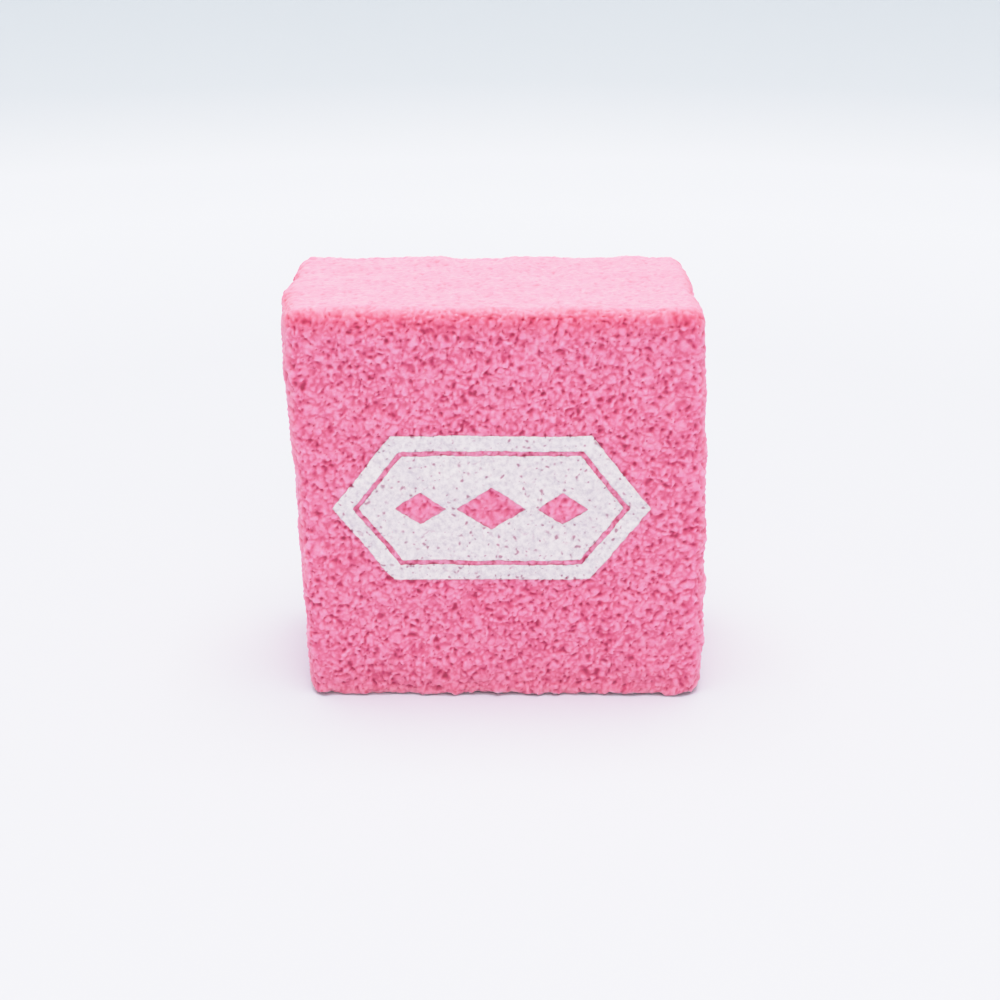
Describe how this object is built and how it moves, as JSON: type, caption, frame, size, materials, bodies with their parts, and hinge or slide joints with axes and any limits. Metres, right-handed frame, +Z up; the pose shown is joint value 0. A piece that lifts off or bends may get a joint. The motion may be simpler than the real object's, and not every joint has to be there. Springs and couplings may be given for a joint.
{
  "type": "rubbing block",
  "caption": "Square pink block of bonded crumb with rounded edges and a white printed emblem on its front face, rubbed by hand on a cue tip or a shoe sole.",
  "frame": {"origin": "centre of the block's flat bottom face, which it stands on", "axes": "+Z up, -Y out of the printed front face, X along the face's width"},
  "size_m": [0.05, 0.0285, 0.051],
  "materials": {
    "crumb_pink": "matte crumb, lumpy and pitted",
    "ink_white": "matte printed ink that follows the crumb"
  },
  "bodies": {
    "root": {"crumb_block": "crumb_pink", "print_border": "ink_white", "print_panel": "ink_white"}
  },
  "joints": []
}
